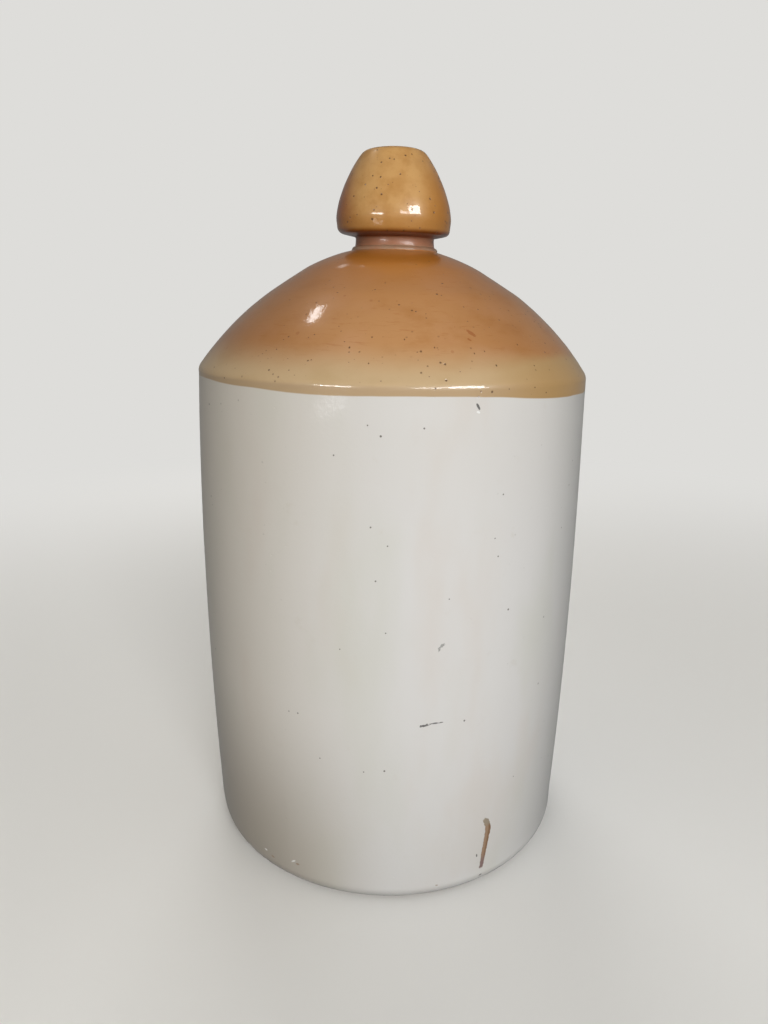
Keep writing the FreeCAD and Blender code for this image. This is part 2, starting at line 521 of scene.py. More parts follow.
def wheel_tree():
    tree = bpy.data.node_groups.new("wheel", "GeometryNodeTree")
    for name, kind in WHEEL_INPUTS.items():
        tree.interface.new_socket(name, in_out="INPUT", socket_type="NodeSocket" + kind)
    tree.interface.new_socket("Pot", in_out="OUTPUT", socket_type="NodeSocketGeometry")
    bench = Bench(tree)
    wheel = bench.add("NodeGroupInput").outputs

    rows = bench.out("GeometryNodeAttributeDomainSize", [wheel["Section"]])
    size = {"Vertices X": bench.plus(wheel["Columns"], 1.0), "Vertices Y": rows}
    grid = bench.out("GeometryNodeMeshGrid", size)
    index = bench.out("GeometryNodeInputIndex")
    row = bench.sum("FLOORED_MODULO", index, rows)
    column = bench.sum("FLOOR", bench.sum("DIVIDE", index, rows))

    def on_section(value, kind):
        """Looks a value of the section up for the row that a grid point is in."""
        inputs = {"Geometry": wheel["Section"], "Value": value, "Index": row}
        return bench.out("GeometryNodeSampleIndex", inputs, data_type=kind)

    def stored(name):
        value = bench.out("GeometryNodeInputNamedAttribute", [name], data_type="FLOAT")
        return on_section(value, "FLOAT")

    point = on_section(bench.out("GeometryNodeInputPosition"), "FLOAT_VECTOR")
    radius, _, height = bench.split(point)
    angle = bench.times(bench.sum("DIVIDE", column, wheel["Columns"]), math.tau)
    east = bench.sum("SINE", angle)
    south = bench.times(bench.sum("COSINE", angle), -1.0)

    def at(distance):
        flat = [bench.times(distance, east), bench.times(distance, south)]
        return bench.out("ShaderNodeCombineXYZ", flat + [height])

    taken = clay_taken_off(bench, at(radius), radius, wheel)
    thrown = at(bench.sum("SUBTRACT", radius, taken))
    to_right, to_back, _ = bench.split(thrown)
    lean = bench.times(to_right, stored("lean"))
    tilt = bench.sum("MULTIPLY_ADD", to_back, stored("nod"), lean)
    pushed = bench.out("ShaderNodeCombineXYZ", [stored("shift"), 0.0, tilt])
    place = bench.along("ADD", thrown, pushed)

    pot = bench.out("GeometryNodeSetPosition", {"Geometry": grid, "Position": place})
    depth = {"Geometry": pot, "Name": "depth", "Value": stored("depth")}
    pot = bench.out("GeometryNodeStoreNamedAttribute", depth, data_type="FLOAT")
    pot = bench.out("GeometryNodeMergeByDistance", {"Geometry": pot, "Distance": MERGE_WITHIN})
    pot = bench.out("GeometryNodeSetShadeSmooth", {"Geometry": pot})
    pot = bench.out("GeometryNodeRealizeInstances", [pot])
    pot = bench.out("GeometryNodeSetMaterial", {"Geometry": pot, "Material": wheel["Glaze"]})
    bench.add("NodeGroupOutput", [pot])
    return tree


wheel = wheel_tree()
print(f"the wheel has {len(wheel.nodes)} nodes and {len(WHEEL_INPUTS)} inputs")

# %% [markdown]
# ## Running the wheel
#
# The sizes go in by each socket's identifier, before the object is first worked out.
# Then the result becomes a plain mesh and the modifier goes, so that the mesh is
# exactly what is seen. A closed pot that faces the right way has a positive
# volume, and it must come out as the volume of its clay.

# %% Turn the pot
COLUMNS = 276
WHEEL_SETTINGS = {
    "Columns": COLUMNS,
    "Wobble": 0.20 * MM,
    "Wobble Span": 70 * MM,
    "Ring Depth": 0.02 * MM,
    "Ring Spacing": 6.5 * MM,
    "Coat": GLAZE_COAT,
    "Seed": 11.0,
}
glaze = bpy.data.materials.new("fired_glaze")


def clay_volume(mesh):
    """Volume inside a closed mesh, positive when its faces point outwards."""
    mesh.calc_loop_triangles()
    corners = [mesh.vertices[i].co for t in mesh.loop_triangles for i in t.vertices]
    thirds = zip(corners[::3], corners[1::3], corners[2::3])
    return sum(a.dot(b.cross(c)) for a, b, c in thirds) / 6


def open_edges(mesh):
    """How many edges don't have exactly two faces."""
    uses = {}
    for face in mesh.polygons:
        for key in face.edge_keys:
            uses[key] = uses.get(key, 0) + 1
    return sum(count != 2 for count in uses.values())


def turn_pot(pot):
    modifier = pot.modifiers.new("wheel", "NODES")
    modifier.node_group = wheel
    named = {s.name: s.identifier for s in wheel.interface.items_tree if s.in_out == "INPUT"}
    for name, value in WHEEL_SETTINGS.items():
        modifier[named[name]] = value
    modifier[named["Glaze"]] = glaze
    depsgraph = bpy.context.evaluated_depsgraph_get()
    turned = bpy.data.meshes.new_from_object(pot.evaluated_get(depsgraph), depsgraph=depsgraph)
    pot.modifiers.remove(modifier)
    pot.data = turned
    turned.materials.clear()
    turned.materials.append(glaze)
    if clay_volume(turned) < 0:
        turned.flip_normals()
    return turned


turned = turn_pot(bottle)
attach(bottle, "root")
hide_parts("bottle")
print(f"{len(turned.loop_triangles)} triangles, {open_edges(turned)} open edges")
print(f"clay {clay_volume(turned) * 1000:.3f} litres, materials {list(turned.materials)}")

# %% [markdown]
# ## Glazing: where a place is on the pot
#
# All patterns read Object coordinates, which stay on the clay when the pot is turned.
# From them come the height, the distance from the axis and the bearing: the angle
# round the pot, nought at the front and positive to the right. Colours are written as
# a screen shows them, 0 to 255, and changed to light here.

# %% Start the glaze
bench = bench_of(glaze)
place = bench.add("ShaderNodeTexCoord").outputs["Object"]
x, y, z = bench.split(place)
bearing = bench.sum("ARCTAN2", x, bench.times(y, -1.0))
from_axis = bench.sum("SQRT", bench.plus(bench.times(x, x), bench.times(y, y)))
above_line = above_glaze_line(bench, place)


def paint(red, green, blue):
    colour = Color((red / 255, green / 255, blue / 255)).from_srgb_to_scene_linear()
    return (*colour, 1.0)


def laid_over(below, above, share, strength=1.0):
    """One colour over another, by a share from 0 to 1 and a strength."""
    mix = bench.add("ShaderNodeMix", data_type="RGBA")
    bench.feed(mix.inputs["Factor"], bench.times(share, strength))
    colours = [socket for socket in mix.inputs if socket.type == "RGBA"]
    bench.feed(colours[0], below)
    bench.feed(colours[1], above)
    return next(socket for socket in mix.outputs if socket.type == "RGBA")


def coated(colour, *coats):
    """A colour under coats, each with its colour, share and, if it is thin, strength."""
    for coat in coats:
        colour = laid_over(colour, *coat)
    return colour


def stretched(factors, seed=0.0):
    """Object coordinates squeezed along each axis, for patterns that run one way."""
    return bench.along("MULTIPLY_ADD", place, factors, (seed, seed, seed))


print("glaze started on", glaze.name)

# %% [markdown]
# ## The cream glaze
#
# A cream glaze on stoneware isn't one colour. It is thin in places, where warm clay
# shows through, and faintly green where it is thick. The patches are drawn out along
# the height, because the glaze ran that way. Light is painted into it too: painted
# warm light on the left side, painted shade towards the bottom and at the right edge,
# and the lower left is darker still.

# %% Mix the cream glaze
CREAM = paint(212, 210, 207)
CREAM_PAINTED_WARM_LIGHT = paint(211, 205, 195)
CREAM_WARM = paint(205, 193, 181)
CREAM_GREEN = paint(196, 197, 181)
CREAM_SOILED = paint(186, 176, 158)
CREAM_DARKER_LOW_LEFT = paint(156, 146, 132)
CREAM_SHADED = paint(164, 164, 160)

down_the_wall = stretched((1.0, 1.0, 0.35))
warm = bench.rise(bench.cloud(down_the_wall, 26 * MM, 5.0, 3.0), 0.50, 0.72)
green = bench.rise(bench.cloud(down_the_wall, 34 * MM, 9.0, 3.0), 0.52, 0.75)
soiled = bench.rise(bench.cloud(place, 11 * MM, 2.0, 5.0, 0.65), 0.62, 0.80)
low_down = bench.rise(z, 100 * MM, 6 * MM)
low_left = bench.times(low_down, bench.rise(x, 10 * MM, -60 * MM))
cream = coated(
    CREAM,
    # painted warm light: the left side is tinted warmer, as if lit from the left
    (CREAM_PAINTED_WARM_LIGHT, bench.rise(x, 10 * MM, -70 * MM)),
    (CREAM_WARM, warm, 0.30),
    (CREAM_GREEN, green, 0.30),
    (CREAM_SOILED, soiled, 0.25),
    (CREAM_SOILED, bench.rise(z, 150 * MM, 210 * MM), 0.12),
    (CREAM_SHADED, low_down, 0.18),
    (CREAM_SHADED, bench.rise(x, 55 * MM, 88 * MM), 0.4),
    # darker towards the lower left
    (CREAM_DARKER_LOW_LEFT, low_left, 0.75),
)
print("cream glaze mixed from 7 colours")

# %% [markdown]
# ## The tan glaze
#
# The dome is an orange tan that grows golden brown and deeper towards the bead, which
# is partly painted shade where its top turns up away from the front light, and its
# flanks are painted darker as shade. The collar is a yellower honey, redder on the
# left and more golden on the right, both sides also painted darker as shade, with a
# dark line of thick glaze and painted shade under its lip. The same dark brown is
# painted as shadow on the top of the neck under the collar. The neck between them is
# thin and pinkish. Each of these is a colour laid over the last where a height, a
# side or a distance from the axis says so.

# %% Mix the tan glaze
TAN = paint(184, 135, 87)
TAN_PINK = paint(188, 140, 98)
TAN_DEEP = paint(166, 112, 60)
TAN_FLANK_PAINTED_SHADE = paint(150, 90, 24)
TAN_BRUSHED = paint(160, 96, 46)
TAN_GOLD_AND_PAINTED_SHADE = paint(174, 106, 29)
HONEY = paint(196, 151, 93)
HONEY_DEEP = paint(164, 112, 50)
HONEY_RED_AND_PAINTED_SHADE = paint(148, 74, 24)
HONEY_GOLD_AND_PAINTED_SHADE = paint(170, 110, 36)
THICK_GLAZE_AND_SHADE_BROWN = paint(110, 53, 12)
NECK_PINK = paint(152, 104, 77)
BEAD_PALE = paint(150, 119, 95)

round_the_dome = stretched((0.8, 0.8, 1.6), 0.3)
mottle = bench.cloud(place, 7 * MM, 21.0, 5.0, 0.6)
deep = bench.rise(bench.cloud(round_the_dome, 12 * MM, 7.0, 6.0, 0.6), 0.44, 0.74)
pink = bench.rise(bench.cloud(place, 24 * MM, 13.0, 3.0), 0.45, 0.70)
strokes = bench.cloud(stretched((0.5, 0.5, 4.0), 1.7), 4 * MM, 87.0, 3.0, 0.6)
tan = coated(
    TAN,
    (TAN_DEEP, deep, 0.6),
    (TAN_PINK, pink),
    (TAN_BRUSHED, bench.rise(strokes, 0.56, 0.72), 0.35),
    # deeper golden glaze near the bead, partly painted shade where the dome turns up from the front
    # light
    (TAN_GOLD_AND_PAINTED_SHADE, bench.rise(from_axis, 76 * MM, 28 * MM), 0.9),
    # painted shade on the dome's left and right flanks
    (TAN_FLANK_PAINTED_SHADE, bench.rise(x, -8 * MM, -50 * MM), 0.52),
    (TAN_FLANK_PAINTED_SHADE, bench.rise(x, -50 * MM, -80 * MM), 0.3),
    (TAN_FLANK_PAINTED_SHADE, bench.rise(x, 8 * MM, 50 * MM), 0.46),
)

level = bench.sum("MULTIPLY_ADD", y, -0.04, z)
honey = coated(
    HONEY,
    (HONEY_DEEP, bench.rise(mottle, 0.35, 0.75), 0.6),
    # a redder left and a more golden right, both also painted shade on the collar's sides
    (HONEY_RED_AND_PAINTED_SHADE, bench.rise(x, -13 * MM, -25 * MM)),
    (HONEY_GOLD_AND_PAINTED_SHADE, bench.rise(x, 8 * MM, 23 * MM)),
    (HONEY_DEEP, bench.rise(z, BELL_HEIGHT + 5 * MM, LIP_HEIGHT), 0.8),
    # thick glaze and painted shade under the lip
    (THICK_GLAZE_AND_SHADE_BROWN, bench.rise(level, LIP_HEIGHT + 1.9 * MM, LIP_HEIGHT - 0.5 * MM)),
)

# painted shadow on the top of the neck under the collar
shadow_under_collar = bench.rise(level, COLLAR_HEIGHT - 0.8 * MM, COLLAR_HEIGHT + 0.6 * MM)
on_bead = bench.rise(z, NECK_FOOT_HEIGHT + 0.3 * MM, NECK_FOOT_HEIGHT - 0.6 * MM)
worn_bead = bench.times(on_bead, bench.rise(mottle, 0.30, 0.60))
neck = coated(NECK_PINK, (THICK_GLAZE_AND_SHADE_BROWN, shadow_under_collar), (BEAD_PALE, worn_bead))
on_neck = bench.rise(z, BEAD_HEIGHT - 0.7 * MM, BEAD_HEIGHT - 0.1 * MM)
on_collar = bench.rise(level, COLLAR_HEIGHT + 0.2 * MM, COLLAR_HEIGHT + 1.0 * MM)
tan = coated(tan, (neck, on_neck), (honey, on_collar))
print("tan glaze mixed from 13 colours")

# %% [markdown]
# ## The band where both glazes lie
#
# Between the end of the tan glaze and the end of the cream one under it, both coats
# lie on each other. That band is beige. It fades out far above the shoulder's edge,
# very softly at the front and on the left, and more quickly on the right. Below the
# edge it is painted a little darker, as shade.

# %% Lay the band and the two glazes
BAND = paint(191, 164, 126)
BAND_PAINTED_SHADE = paint(176, 150, 117)
BAND_OLIVE = paint(181, 153, 111)
BAND_GOLD = paint(170, 133, 78)
BAND_MIDDLE = 231.6 * MM
HALF_FADE = 7.4 * MM
HALF_FADE_RIGHT = 2.2 * MM

patches = bench.cloud(round_the_dome, 18 * MM, 31.0, 4.0)
under_edge = bench.rise(z, SHOULDER_HEIGHT + 0.5 * MM, SHOULDER_HEIGHT - 1.0 * MM)
on_right = bench.rise(x, 25 * MM, 65 * MM)
band = coated(
    BAND,
    (BAND_OLIVE, bench.rise(patches, 0.45, 0.72), 0.7),
    # painted shade just below the shoulder's edge
    (BAND_PAINTED_SHADE, under_edge, 0.8),
    (BAND_GOLD, on_right, 0.8),
)
fade = bench.sum("MULTIPLY_ADD", on_right, HALF_FADE_RIGHT - HALF_FADE, HALF_FADE)
soft_z = bench.plus(z, bench.centred(bench.cloud(place, 22 * MM, 17.0, 5.0), 2.0 * MM))
fade_start = bench.plus(fade, BAND_MIDDLE)
fade_end = bench.sum("SUBTRACT", BAND_MIDDLE, fade)
double_coat = bench.rise(soft_z, fade_start, fade_end)
tan_share = bench.rise(above_line, -0.25 * MM, 0.25 * MM)
colour = laid_over(cream, laid_over(tan, band, double_coat), tan_share)
print(f"band up to {BAND_MIDDLE / MM:.1f} mm, fading over {2 * HALF_FADE / MM:.1f} mm")

# %% [markdown]
# ## Iron specks
#
# Stoneware clay has grains of iron in it that melt into the glaze as dark spots. A
# Voronoi pattern in space suits them: each cell has one grain, and a spot shows where
# the surface cuts it. A random number of the cell, raised to a power, sets the size,
# so that most are small. Some cells have none. The cream glaze hides most.

# %% Scatter the specks
SPECK_ON_TAN = paint(74, 44, 24)
SPECK_HALO = paint(150, 88, 44)
SPECK_ON_CREAM = paint(96, 90, 84)


def specks(spacing, largest, missing, seed):
    """Spots up to largest in radius, about spacing apart, with a share of cells left empty."""
    at = bench.along("ADD", place, (seed, seed, seed))
    cells = bench.add("ShaderNodeTexVoronoi", {"Vector": at, "Scale": 1 / spacing})
    chance, luck, _ = bench.split(cells.outputs["Color"])
    size = bench.times(bench.sum("POWER", luck, 2.0), largest / spacing)
    size = bench.times(size, bench.rise(chance, missing, missing + 0.02))
    return bench.rise(cells.outputs["Distance"], size, bench.times(size, 0.45))


def outside_of(share):
    return bench.sum("SUBTRACT", 1.0, share)


tan_specks = specks(2.0 * MM, 0.62 * MM, 0.30, 0.11)
tan_halos = specks(5.2 * MM, 1.3 * MM, 0.60, 0.47)
collar_specks = specks(1.6 * MM, 0.64 * MM, 0.35, 0.83)
cream_specks = specks(4.6 * MM, 0.62 * MM, 0.30, 0.29)
crowded = bench.rise(bench.cloud(place, 30 * MM, 41.0, 2.0), 0.40, 0.62)
away_from_front = bench.rise(y, -88 * MM, -40 * MM)
on_dome = bench.times(tan_share, outside_of(on_neck))
dome_share = bench.times(tan_specks, on_dome, crowded)
collar_share = bench.times(collar_specks, on_collar)
cream_share = bench.times(cream_specks, outside_of(tan_share), away_from_front)
colour = coated(
    colour,
    (SPECK_HALO, bench.times(tan_halos, on_dome, outside_of(double_coat)), 0.45),
    (SPECK_ON_TAN, dome_share, 0.8),
    (SPECK_ON_TAN, collar_share, 0.85),
    (SPECK_ON_CREAM, cream_share, 0.85),
)
all_specks = bench.any_of(dome_share, collar_share, cream_share)
print("4 scatters of specks")

# %% [markdown]
# ## Marks of use
#
# These are where the real bottle has them: a nick under the glaze line, a smudge, a
# scuff in dashes, a streak near the foot where the glaze crept off the clay, and chips
# on the heel. Each mark is an ellipse on the unrolled wall, made ragged by a fine
# cloud. One node group holds that sum, so that a mark is one line.

# %% Make the group for a mark
MARK_INPUTS = ["Bearing Here", "Height Here", "Grain",
               "Bearing", "Height", "Long", "Wide", "Slant", "Ragged"]


def mark_group():
    tree = bpy.data.node_groups.new("mark", "ShaderNodeTree")
    for name in MARK_INPUTS:
        tree.interface.new_socket(name, in_out="INPUT", socket_type="NodeSocketFloat")
    tree.interface.new_socket("Share", in_out="OUTPUT", socket_type="NodeSocketFloat")
    inner = Bench(tree)
    mark = inner.add("NodeGroupInput").outputs
    turn = inner.sum("SUBTRACT", mark["Bearing Here"], mark["Bearing"])
    across = inner.times(turn, SHOULDER_RADIUS)
    up = inner.sum("SUBTRACT", mark["Height Here"], mark["Height"])
    cosine = inner.sum("COSINE", mark["Slant"])
    sine = inner.sum("SINE", mark["Slant"])
    length = inner.plus(inner.times(across, cosine), inner.times(up, sine))
    width = inner.sum("SUBTRACT", inner.times(up, cosine), inner.times(across, sine))
    length = inner.sum("DIVIDE", length, inner.times(mark["Long"], 0.5))
    width = inner.sum("DIVIDE", width, inner.times(mark["Wide"], 0.5))
    squares = inner.plus(inner.times(length, length), inner.times(width, width))
    edge = inner.sum("MULTIPLY_ADD", mark["Grain"], mark["Ragged"], inner.sum("SQRT", squares))
    inner.add("NodeGroupOutput", [inner.rise(edge, 1.0, 0.75)])
    return tree


mark_tree = mark_group()
grain = bench.centred(bench.cloud(place, 1.1 * MM, 51.0, 3.0, 0.7), 1.0)


def mark(at_degrees, at_mm, long_mm, wide_mm, slant_degrees=0.0, ragged=0.5):
    """The share of the surface that one mark covers."""
    node = bench.add("ShaderNodeGroup", node_tree=mark_tree)
    sizes = [math.radians(at_degrees), at_mm * MM, long_mm * MM, wide_mm * MM]
    values = [bearing, z, grain, *sizes, math.radians(slant_degrees), ragged]
    for name, value in zip(MARK_INPUTS, values):
        bench.feed(node.inputs[name], value)
    return node.outputs[0]


def marks(*places):
    """The share that several marks cover together."""
    return bench.any_of(*[mark(*numbers) for numbers in places])


print("a mark takes", len(MARK_INPUTS), "numbers")

# %% Place the marks
NICK_GREY = paint(92, 90, 88)
GLINT_PAINTED_HIGHLIGHT = paint(232, 232, 230)
SMUDGE_GREY = paint(140, 140, 136)
CHIP_BROWN = paint(150, 128, 108)
RUST = paint(150, 84, 42)

nick = mark(21.2, 215.4, 3.2, 1.0, -58, 0.4)
# painted highlight: the bright catch of light on the chipped edge under the nick
nick_painted_glint = mark(21.3, 213.4, 1.8, 0.9, -20, 0.3)
scuff = marks((10.0, 88.5, 4.6, 1.0, 8, 1.7), (12.9, 89.2, 7.0, 0.7, 2, 1.7))
dots = marks((20.9, 88.4, 0.9, 0.9), (27.8, 17.9, 0.8, 1.8, 10), (29.7, 6.1, 1.8, 1.1, 20, 0.8))
smudge = marks((13.6, 122.9, 3.0, 1.4, 35, 1.3), (13.2, 121.4, 1.8, 0.7, 70, 1.0))
heel_chips = marks((-26.2, 12.4, 2.4, 1.3, 15, 1.2), (-35.6, 9.7, 2.4, 0.9, -10, 1.2),
                   (15.3, 7.7, 1.5, 0.8, 0, 0.8))
# the fresh heel chips are pale broken glaze with painted highlights
fresh_chips_and_glints = marks((-27.6, 13.2, 2.6, 0.9, 35, 1.3), (-38.6, 11.3, 1.8, 1.0, 0, 1.0))
rust = marks((24.0, 240.8, 5.0, 1.6, -28, 1.0), (22.4, 238.6, 2.2, 0.8, -20, 1.0))
colour = coated(
    colour,
    (NICK_GREY, bench.any_of(nick, scuff, dots), 0.9),
    (SMUDGE_GREY, smudge, 0.8),
    (CHIP_BROWN, heel_chips, 0.8),
    (GLINT_PAINTED_HIGHLIGHT, bench.any_of(nick_painted_glint, fresh_chips_and_glints), 0.85),
    (RUST, rust, 0.7),
)
print("placed the nick, scuff, dots, smudge, old and fresh heel chips and rust")

# %% [markdown]
# ## The largest specks at the front
#
# A scatter is enough for the sides and the back. At the front an owner would know the
# largest specks, so these have places of their own, given as bearings in degrees and
# heights in millimetres. The wall is unrolled first. Then a speck is simply where the
# nearest of its places is closer than its radius.

# %% Place the largest specks
FRONT_SPECKS = {
    0.45: [(32.7, 133.9), (-2.1, 205.2), (-0.3, 68.0)],
    0.36: [(29.2, 181.8), (-4.3, 171.4), (-24.0, 89.5), (28.5, 157.3), (-13.3, 197.7), (8.0, 208.1),
           (-3.0, 150.4)],
    0.30: [(-5.8, 67.1), (-11.9, 121.4), (-0.2, 164.3), (27.3, 164.8), (-26.8, 89.3), (-0.4, 129.3),
           (54.5, 161.4), (15.3, 142.4), (-5.2, 209.0), (-17.8, 70.7), (39.5, 52.0), (60.0, 188.6)],
}
DOME_SPECKS = {
    0.42: [(-11.1, 235.5), (27.9, 229.5)],
    0.32: [(38.0, 221.3), (42.4, 219.0), (22.6, 233.7), (25.9, 234.4), (11.7, 235.8), (3.7, 238.5),
           (-5.5, 230.3), (41.0, 228.9), (38.8, 236.5)],
}
unrolled = bench.out("ShaderNodeCombineXYZ", [bench.times(bearing, SHOULDER_RADIUS), z, 0.0])


def spots(radius, places):
    """Round spots of one radius at bearings in degrees and heights in millimetres."""
    nearest = 1.0
    for at_degrees, at_mm in places:
        centre = (math.radians(at_degrees) * SHOULDER_RADIUS, at_mm * MM, 0.0)
        gap = bench.add("ShaderNodeVectorMath", [unrolled, centre], operation="DISTANCE")
        nearest = bench.sum("MINIMUM", gap.outputs["Value"], nearest)
    uneven = bench.sum("MULTIPLY_ADD", grain, 0.1 * MM, nearest)
    return bench.rise(uneven, 1.2 * radius * MM, 0.6 * radius * MM)


def placed(by_radius):
    """All the spots of a dictionary from radius to places."""
    return bench.any_of(*[spots(radius, places) for radius, places in by_radius.items()])


colour = laid_over(colour, SPECK_ON_CREAM, placed(FRONT_SPECKS), 0.9)
colour = laid_over(colour, SPECK_ON_TAN, placed(DOME_SPECKS), 0.8)
groups = [*FRONT_SPECKS.values(), *DOME_SPECKS.values()]
print(f"placed {sum(len(places) for places in groups)} specks by hand")

# %% [markdown]
# ## The streak near the foot
#
# The brown streak is longer and bent, so it has its own sum. Its middle runs down the
# wall along two lines that meet in a soft corner, and it is as wide as its distance
# from that middle allows. Bare clay lies a little lower than the glaze round it.

# %% Draw the streak
STREAK_TOP = 36.0 * MM
STREAK_BEND = 31.0 * MM
STREAK_FOOT = 10.0 * MM
STREAK_HALF_WIDTH = 1.6 * MM
STREAK_TAPER = 0.6 * MM
STREAK_TAN = paint(150, 124, 101)
STREAK_BROWN = paint(122, 91, 64)
STREAK_PINK = paint(128, 106, 102)
STREAK_GREY = paint(148, 136, 118)
BEARING_AT_FOOT, BEARING_AT_BEND, BEARING_AT_TOP = (math.radians(d) for d in (29.7, 31.2, 29.9))


def line_through(value, first, first_result, second, second_result):
    """A straight line through two results, carried on past both."""
    slope = (second_result - first_result) / (second - first)
    return bench.sum("MULTIPLY_ADD", value, slope, first_result - slope * first)


lower_run = line_through(z, STREAK_FOOT, BEARING_AT_FOOT, STREAK_BEND, BEARING_AT_BEND)
upper_run = line_through(z, STREAK_BEND, BEARING_AT_BEND, STREAK_TOP, BEARING_AT_TOP)
middle = bench.sum("SMOOTH_MIN", lower_run, upper_run, 0.01)
off_middle = bench.times(bench.sum("SUBTRACT", bearing, middle), SHOULDER_RADIUS)
half = line_through(z, STREAK_FOOT, STREAK_HALF_WIDTH - STREAK_TAPER, STREAK_TOP, STREAK_HALF_WIDTH)
wander = bench.sum("MULTIPLY_ADD", grain, 0.7 * MM, bench.sum("ABSOLUTE", off_middle))
crest = bench.sum("MULTIPLY_ADD", bench.sum("ABSOLUTE", off_middle), 0.7, z)
streak = bench.times(
    bench.rise(bench.sum("SUBTRACT", wander, half), 0.14 * MM, -0.14 * MM),
    bench.rise(z, STREAK_FOOT - 0.5 * MM, STREAK_FOOT + 0.5 * MM),
    bench.rise(crest, STREAK_TOP + 1.2 * MM, STREAK_TOP + 0.2 * MM),
)
streak_colour = coated(
    STREAK_TAN,
    (STREAK_BROWN, bench.rise(off_middle, -0.3 * MM, 1.0 * MM)),
    (STREAK_GREY, bench.rise(z, STREAK_TOP - 5 * MM, STREAK_TOP - 2 * MM)),
    (STREAK_PINK, bench.rise(z, STREAK_FOOT + 9 * MM, STREAK_FOOT + 2 * MM)),
)
colour = laid_over(colour, streak_colour, streak)
print(f"a streak {(STREAK_TOP - STREAK_FOOT) / MM:.0f} mm long")

# %% [markdown]
# ## Bare clay and the inside
#
# The potter wiped the glaze off the foot, or the bottle would have stuck to the kiln
# shelf, so the ring and the underside are bare, rough and stained. Down the mouth the
# tan glaze soon gives way to the plain brown one that lined the inside.

# %% Lay the bare foot and the inside
BARE_CLAY = paint(178, 160, 134)
BARE_STAINED = paint(128, 104, 78)
INNER_BROWN = paint(120, 84, 52)
WIPED_UP_TO = 1.5 * MM

wiped_edge = bench.centred(bench.cloud(place, 7 * MM, 61.0, 4.0), 1.2 * MM)
bare = bench.rise(bench.plus(z, wiped_edge), WIPED_UP_TO + 0.3 * MM, WIPED_UP_TO - 0.2 * MM)
underneath = bench.times(bench.rise(from_axis, 80 * MM, 77 * MM), bench.rise(z, 4 * MM, 2 * MM))
bare = bench.any_of(bare, underneath)
stain = bench.rise(bench.cloud(place, 9 * MM, 67.0, 6.0, 0.65), 0.42, 0.68)
clay = laid_over(BARE_CLAY, BARE_STAINED, stain)
depth = bench.add("ShaderNodeAttribute", attribute_name="depth").outputs["Fac"]
colour = coated(colour, (clay, bare), (INNER_BROWN, bench.rise(depth, 9 * MM, 15 * MM)))
streak_or_bare = bench.any_of(bare, bench.times(streak, 0.8))
print("bare foot and lined inside laid")

# %% [markdown]
# ## The relief of the glaze
#
# Under a lamp the glaze isn't flat: it has the skin of an orange, small pits where
# bubbles broke, and an edge where the second coat ends. These are far smaller than a
# face of the mesh, so they go in as bump. Each part of the relief is a real height in
# metres and the Bump node's distance is 1, so the strengths stay honest.

# %% Model the relief
SKIN = 0.035 * MM
RIPPLE = 0.08 * MM
PIT = 0.10 * MM
CLAY_GRIT = 0.10 * MM

skin = bench.times(bench.cloud(place, 1.3 * MM, 71.0, 2.0), SKIN)
ripple = bench.times(bench.cloud(place, 9 * MM, 73.0, 2.0), RIPPLE)
pits = specks(3.4 * MM, 0.45 * MM, 0.55, 0.61)
hollows = bench.times(bench.any_of(pits, all_specks, nick, streak), -PIT)
grit = bench.times(bench.cloud(place, 0.7 * MM, 79.0, 4.0, 0.7), streak_or_bare, CLAY_GRIT)
relief = bench.plus(skin, ripple, hollows, grit)
bump = bench.out("ShaderNodeBump", {"Strength": 1.0, "Distance": 1.0, "Height": relief})
print(f"relief up to {(SKIN + RIPPLE + CLAY_GRIT) / MM:.2f} mm high and {PIT / MM:.2f} mm deep")

# %% [markdown]
# ## The gloss
#
# The highlights on the real pot are crisp inside a softer glow. A principled shader
# does both: a clear coat gives the crisp part, and the base under it is rougher. Bare
# clay is matt, and it has no coat. The coat's roughness is the same everywhere, so it
# stays on its socket.

# %% Fire the glaze
COAT_WEIGHT = 0.5
COAT_ROUGHNESS = 0.06
GLAZE_IOR = 1.5
BASE_SPECULAR = 0.2

worn = bench.cloud(place, 16 * MM, 83.0, 4.0, 0.6)
gloss = bench.sum("MULTIPLY_ADD", worn, 0.16, 0.24)
roughness = bench.plus(gloss, bench.times(streak_or_bare, 0.45))
thin_glaze = bench.times(on_neck, bench.sum("SUBTRACT", 0.8, bench.times(on_collar, 0.8)))
worn_rim = bench.times(bench.rise(z, RIM_HEIGHT - 6 * MM, RIM_HEIGHT - 4 * MM), 0.9)
dry = bench.any_of(streak_or_bare, thin_glaze, worn_rim)
coat = bench.sum("MULTIPLY_ADD", dry, -COAT_WEIGHT, COAT_WEIGHT)
fired = bench.out("ShaderNodeBsdfPrincipled", {
    "Base Color": colour, "Roughness": roughness, "IOR": GLAZE_IOR, "Normal": bump,
    "Specular IOR Level": BASE_SPECULAR,
    "Coat Weight": coat, "Coat Roughness": COAT_ROUGHNESS, "Coat Normal": bump,
})
bench.add("ShaderNodeOutputMaterial", [fired])
print(f"the glaze has {len(glaze.node_tree.nodes)} nodes")

# %% [markdown]
# ## The floor and the light behind it
#
# The bottle stands on a wide pale floor that takes its shadow. Far from the bottle the
# floor fades into the world's colour, so no horizon shows. Light Path's rays do that:
# what the camera sees is a plain pale colour, while the light on the bottle stays what
# the lamps and a grey world give it. The real bottle stood before black cloth, so the
# gloss sees the pale room dimmed to about a third, and the floor throws little light
# back up. The grey light is warmer from the left.

